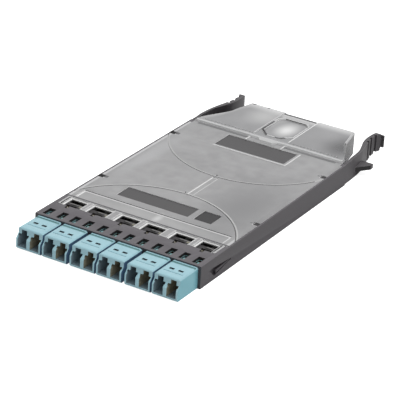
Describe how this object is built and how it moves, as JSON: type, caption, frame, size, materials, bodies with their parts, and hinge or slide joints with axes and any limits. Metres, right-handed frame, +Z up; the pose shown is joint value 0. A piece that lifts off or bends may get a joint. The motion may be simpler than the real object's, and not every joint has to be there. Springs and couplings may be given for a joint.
{
  "type": "fibre cassette",
  "caption": "Flat fibre cassette with a row of duplex ports in front, a rear multi-fibre port, a frosted cover and sprung release levers.",
  "frame": {"origin": "centre of the bounding box on the underside", "axes": "+Z up, +Y from the front ports to the rear, +X to the right seen from the front"},
  "size_m": [0.0916, 0.1852, 0.0113],
  "materials": {
    "tray": "fine matt",
    "cover": "frosted, see-through",
    "lever": "fine matt",
    "adapter": "satin",
    "sleeve": "polished ceramic",
    "plug": "satin",
    "ferrule": "polished ceramic",
    "boot": "soft",
    "fibre": "smooth buffer",
    "fan_out": "matt",
    "ribbon": "smooth",
    "rear_adapter": "matt",
    "rear_plug": "satin",
    "mt_ferrule": "polished end",
    "pin": "ground",
    "rear_boot": "soft"
  },
  "bodies": {
    "cassette": {"tray": "tray", "cover": "cover", "lc_adapter_1": "adapter", "lc_adapter_2": "adapter", "lc_adapter_3": "adapter", "lc_adapter_4": "adapter", "lc_adapter_5": "adapter", "lc_adapter_6": "adapter", "alignment_sleeve_1": "sleeve", "alignment_sleeve_2": "sleeve", "alignment_sleeve_3": "sleeve", "alignment_sleeve_4": "sleeve", "alignment_sleeve_5": "sleeve", "alignment_sleeve_6": "sleeve", "alignment_sleeve_7": "sleeve", "alignment_sleeve_8": "sleeve", "alignment_sleeve_9": "sleeve", "alignment_sleeve_10": "sleeve", "alignment_sleeve_11": "sleeve", "alignment_sleeve_12": "sleeve", "lc_plug_1": "plug", "lc_plug_2": "plug", "lc_plug_3": "plug", "lc_plug_4": "plug", "lc_plug_5": "plug", "lc_plug_6": "plug", "lc_plug_7": "plug", "lc_plug_8": "plug", "lc_plug_9": "plug", "lc_plug_10": "plug", "lc_plug_11": "plug", "lc_plug_12": "plug", "ferrules": "ferrule", "plug_boots": "boot", "fibre_1": "fibre", "fibre_2": "fibre", "fibre_3": "fibre", "fibre_4": "fibre", "fibre_5": "fibre", "fibre_6": "fibre", "fibre_7": "fibre", "fibre_8": "fibre", "fibre_9": "fibre", "fibre_10": "fibre", "fibre_11": "fibre", "fibre_12": "fibre", "fan_out_block": "fan_out", "fibre_ribbon": "ribbon", "mpo_adapter": "rear_adapter", "mpo_plug": "rear_plug", "mt_ferrule": "mt_ferrule", "guide_pins": "pin", "mpo_boot": "rear_boot"},
    "lever_right": {"release_lever_right": "lever"},
    "lever_left": {"release_lever_left": "lever"}
  },
  "joints": [
    {"name": "lever_right_squeeze", "type": "hinge", "parent": "cassette", "child": "lever_right", "pos_m": [0.04055, 0.04966, 0.0054], "axis": [0, 0, 1], "range_deg": [0, 6], "stiffness_Nm_per_rad": 1},
    {"name": "lever_left_squeeze", "type": "hinge", "parent": "cassette", "child": "lever_left", "pos_m": [-0.04055, 0.04966, 0.0054], "axis": [0, 0, 1], "range_deg": [-6, 0], "stiffness_Nm_per_rad": 1}
  ]
}
